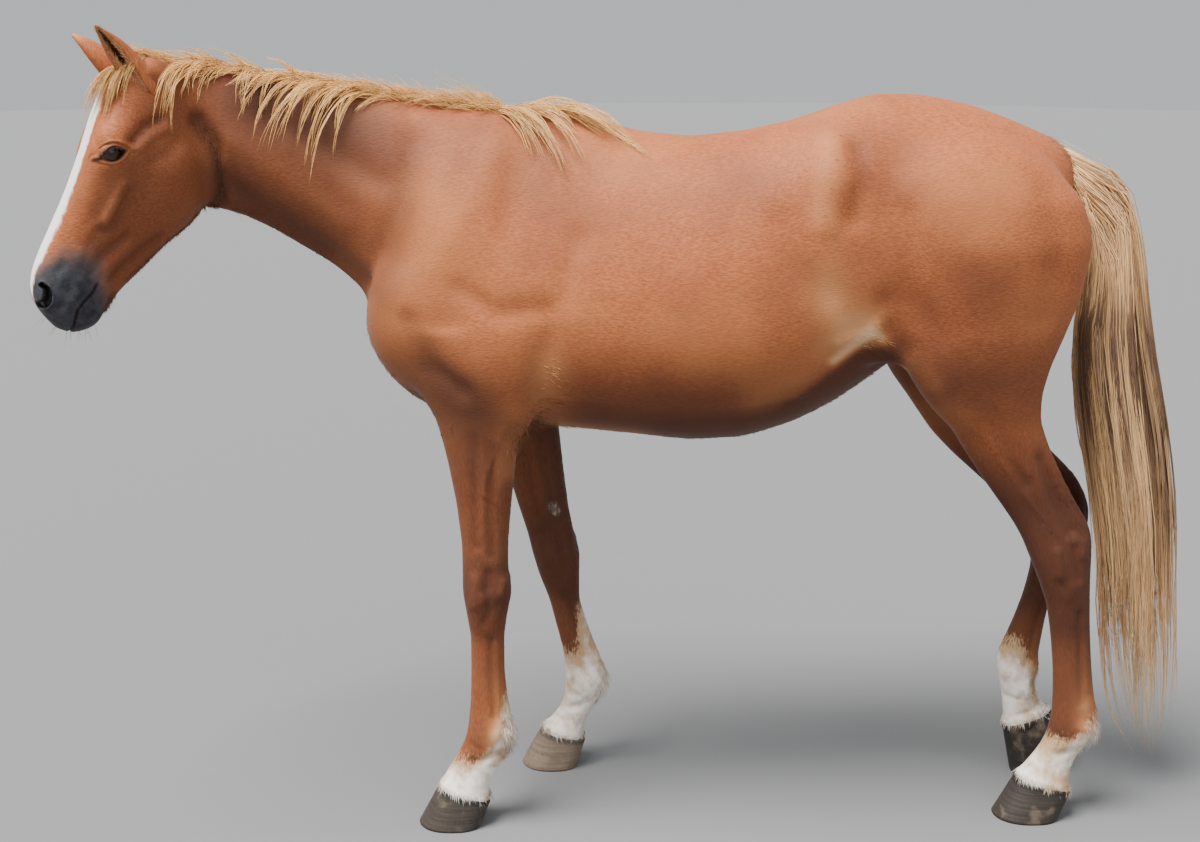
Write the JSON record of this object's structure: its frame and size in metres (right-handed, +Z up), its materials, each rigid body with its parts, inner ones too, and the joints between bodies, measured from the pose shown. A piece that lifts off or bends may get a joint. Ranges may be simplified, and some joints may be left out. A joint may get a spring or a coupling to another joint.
{
  "type": "standing horse",
  "caption": "Life-size chestnut riding horse standing at rest with head low and turned a little, one hind foot resting on its toe.",
  "frame": {"origin": "under the middle of the bounding box, on the floor that the hooves stand on", "axes": "+Z up, -X the way the horse faces, -Y its left side; the body is longest along X"},
  "size_m": [2.508, 0.5464, 1.7428],
  "materials": {
    "chestnut_coat": "short chestnut hair over skin",
    "white_coat": "short white hair over pink skin",
    "muzzle_skin": "bare dark grey skin, finely wrinkled",
    "flaxen_hair": "long coarse flaxen hair",
    "hoof_horn": "horn, ringed and a little soiled",
    "eye": "wet dark brown"
  },
  "bodies": {
    "root": {"barrel": "chestnut_coat", "dock": "chestnut_coat", "ear_left": "chestnut_coat", "ear_right": "chestnut_coat", "eye_left": "eye", "eye_right": "eye", "forehand": "chestnut_coat", "forelock": "flaxen_hair", "head": "chestnut_coat", "hindquarters": "chestnut_coat", "left_fore_cannon": "chestnut_coat", "left_fore_forearm": "chestnut_coat", "left_fore_hoof": "hoof_horn", "left_fore_knee": "chestnut_coat", "left_fore_pastern": "white_coat", "left_hind_cannon": "chestnut_coat", "left_hind_gaskin": "chestnut_coat", "left_hind_hock": "chestnut_coat", "left_hind_hoof": "hoof_horn", "left_hind_pastern": "white_coat", "mane": "flaxen_hair", "muzzle": "muzzle_skin", "neck": "chestnut_coat", "right_fore_cannon": "chestnut_coat", "right_fore_forearm": "chestnut_coat", "right_fore_hoof": "hoof_horn", "right_fore_knee": "chestnut_coat", "right_fore_pastern": "white_coat", "right_hind_cannon": "chestnut_coat", "right_hind_gaskin": "chestnut_coat", "right_hind_hock": "chestnut_coat", "right_hind_hoof": "hoof_horn", "right_hind_pastern": "white_coat", "tail_hair": "flaxen_hair"}
  },
  "joints": []
}
